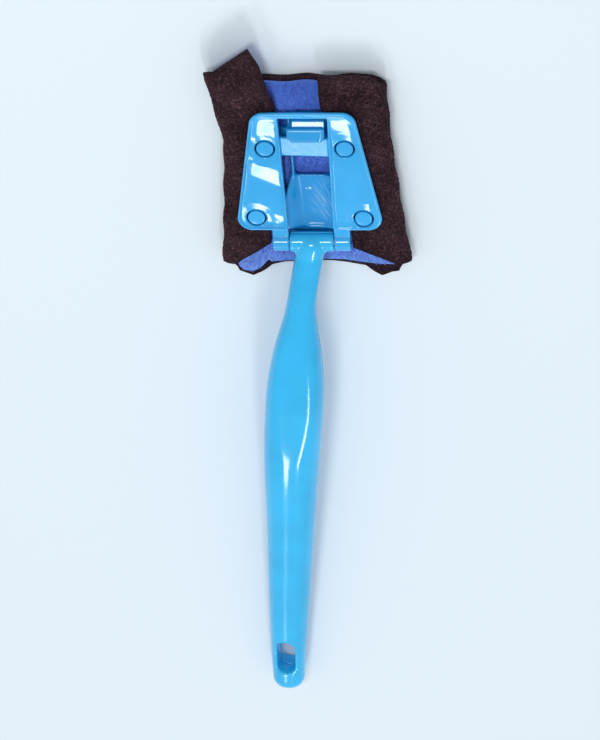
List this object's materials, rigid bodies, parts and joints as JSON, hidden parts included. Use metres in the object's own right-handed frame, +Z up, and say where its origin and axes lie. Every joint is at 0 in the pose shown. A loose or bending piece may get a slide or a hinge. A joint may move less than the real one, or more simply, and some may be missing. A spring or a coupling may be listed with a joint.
{
  "type": "pivoting scrub brush",
  "caption": "Hand scrub brush with a long arched handle hinged to a clamp head that grips a folded scouring sheet over a base plate, locked by a snap latch.",
  "frame": {"origin": "on the scrubbing face, under the centre of the clamp frame", "axes": "+Y points from the handle to the head's far edge, +Z up from the scrubbing face, +X to the right with the head pointing away"},
  "size_m": [0.0869, 0.3867, 0.0363],
  "materials": {
    "handle_plastic": "glossy light-blue moulded plastic",
    "head_plastic": "glossy light-blue moulded plastic with light scuffs",
    "scouring_fabric": "coarse dark-brown non-woven scouring web",
    "fleece_fabric": "short blue fleece",
    "pin_steel": "plain steel rod"
  },
  "bodies": {
    "head": {"scouring_sheet": "scouring_fabric", "fleece_liner": "fleece_fabric", "base_plate": "head_plastic", "clamp_frame": "head_plastic", "pad_peg_far_left": "head_plastic", "pad_peg_far_right": "head_plastic", "pad_peg_near_left": "head_plastic", "pad_peg_near_right": "head_plastic", "hinge_pin": "pin_steel"},
    "latch": {"latch": "head_plastic"},
    "handle": {"handle_front_shell": "handle_plastic", "handle_back_shell": "handle_plastic"}
  },
  "joints": [
    {"name": "handle_pivot", "type": "hinge", "parent": "head", "child": "handle", "pos_m": [0, -0.0417, 0.0136], "axis": [-1, 0, 0], "range_deg": [0, 100]},
    {"name": "latch_release", "type": "hinge", "parent": "head", "child": "latch", "pos_m": [0.0012, 0.0226, 0.0079], "axis": [-1, 0, 0], "range_deg": [0, 9], "stiffness_Nm_per_rad": 0.06}
  ]
}
